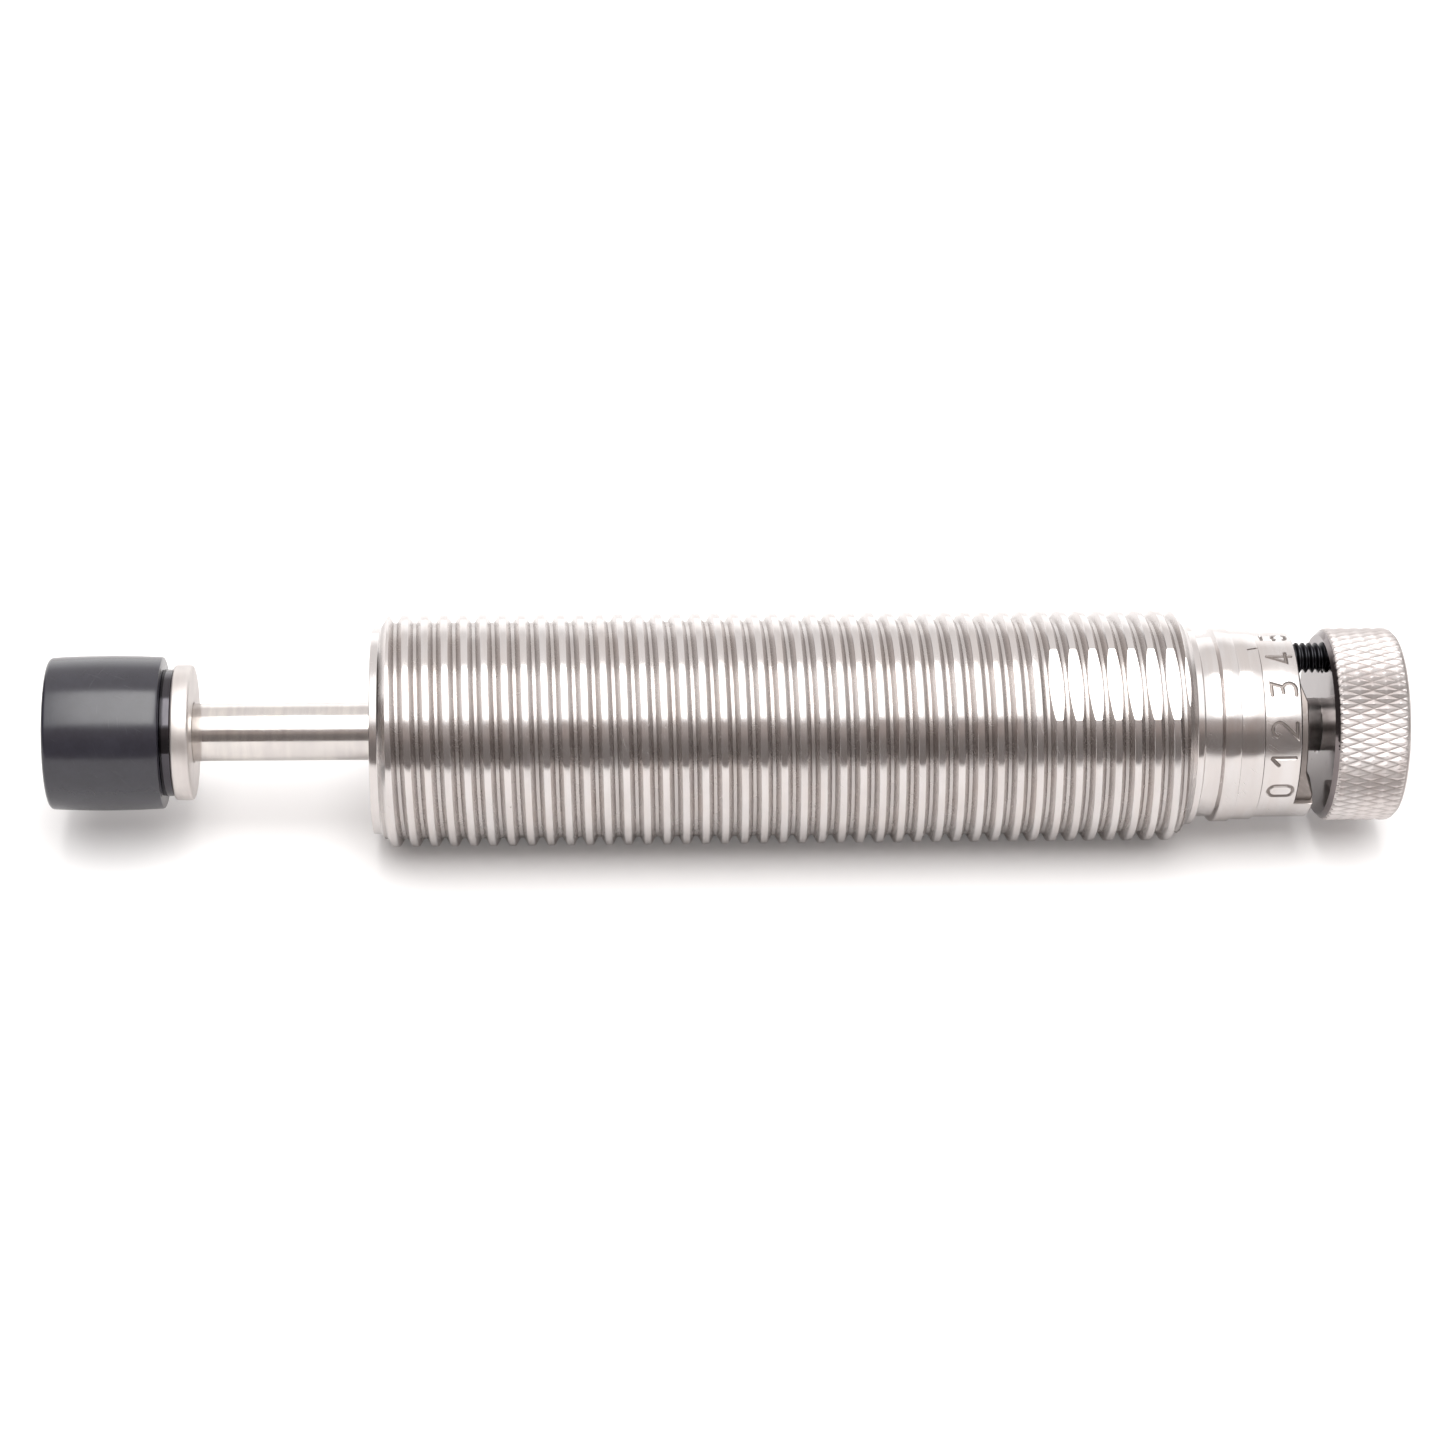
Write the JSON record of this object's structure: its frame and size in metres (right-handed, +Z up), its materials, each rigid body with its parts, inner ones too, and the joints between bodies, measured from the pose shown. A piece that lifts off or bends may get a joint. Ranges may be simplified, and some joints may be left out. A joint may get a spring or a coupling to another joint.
{
  "type": "adjustable hydraulic shock absorber",
  "caption": "Threaded industrial shock absorber with a sprung rod and bumper cap at one end and a numbered dial and knurled adjusting knob at the other.",
  "frame": {"origin": "on the axis, 32.6 mm behind the front end of the barrel's full-diameter thread", "axes": "+X along the axis from the bumper cap to the adjusting knob; +Z up, through the dial's index line; the part lies with its axis level, as held in a level mounting hole"},
  "size_m": [0.1108, 0.019, 0.019],
  "materials": {
    "nickel_body": "bright nickel plate over a rolled and machined thread",
    "nickel_collar": "bright nickel plate, smooth turned",
    "nickel_dial": "satin nickel plate, stamped numbers",
    "nickel_knob": "satin nickel plate over a diamond knurl",
    "nickel_flange": "satin nickel plate",
    "polished_rod": "ground and polished hard chrome",
    "stem_steel": "turned stainless steel",
    "hardened_steel": "hardened and ground steel",
    "spring_steel": "phosphated spring steel",
    "bearing_bronze": "turned bronze",
    "black_oxide": "black oxide alloy steel",
    "dark_insert": "black oxide steel, polished",
    "black_elastomer": "semi-matt blue-black cast urethane",
    "wiper_urethane": "moulded urethane",
    "seal_rubber": "moulded nitrile rubber",
    "foam": "closed-cell nitrile foam"
  },
  "bodies": {
    "barrel": {"body_tube": "nickel_body", "retaining_ring": "spring_steel", "rod_wiper": "wiper_urethane", "front_bearing": "bearing_bronze", "gland_o_ring": "seal_rubber", "rod_seal": "seal_rubber", "pressure_tube": "hardened_steel", "tube_plug": "hardened_steel", "accumulator_foam": "foam", "thrust_washer": "bearing_bronze", "index_collar": "nickel_collar", "collar_o_ring": "seal_rubber", "stem_o_ring": "seal_rubber", "return_spring": "spring_steel"},
    "rod": {"piston_rod": "polished_rod", "piston": "hardened_steel", "piston_plate": "hardened_steel", "piston_nut": "spring_steel", "rod_flange": "nickel_flange", "cap_insert": "dark_insert", "rod_cap": "black_elastomer"},
    "check_valve": {"check_ring": "hardened_steel"},
    "adjuster": {"adjuster_stem": "stem_steel", "stem_clip": "spring_steel", "metering_sleeve": "hardened_steel", "dial_ring": "nickel_dial", "knob": "nickel_knob"},
    "screw": {"lock_screw": "black_oxide"}
  },
  "joints": [
    {"name": "rod_slide", "type": "slide", "parent": "barrel", "child": "rod", "axis": [1, 0, 0], "range_m": [0, 0.0127], "stiffness_N_per_m": 880, "springref_m": -0.0057, "deforming": ["return_spring"]},
    {"name": "check_ring_float", "type": "slide", "parent": "rod", "child": "check_valve", "axis": [1, 0, 0], "range_m": [0, 0.0005]},
    {"name": "adjuster_turn", "type": "hinge", "parent": "barrel", "child": "adjuster", "pos_m": [0.0385, 0, 0], "axis": [1, 0, 0], "range_deg": [-100.8, 86.8]},
    {"name": "lock_screw_turn", "type": "hinge", "parent": "adjuster", "child": "screw", "pos_m": [0.046, 0.00123, 0.00587], "axis": [1, 0, 0], "range_deg": [0, 270]}
  ]
}
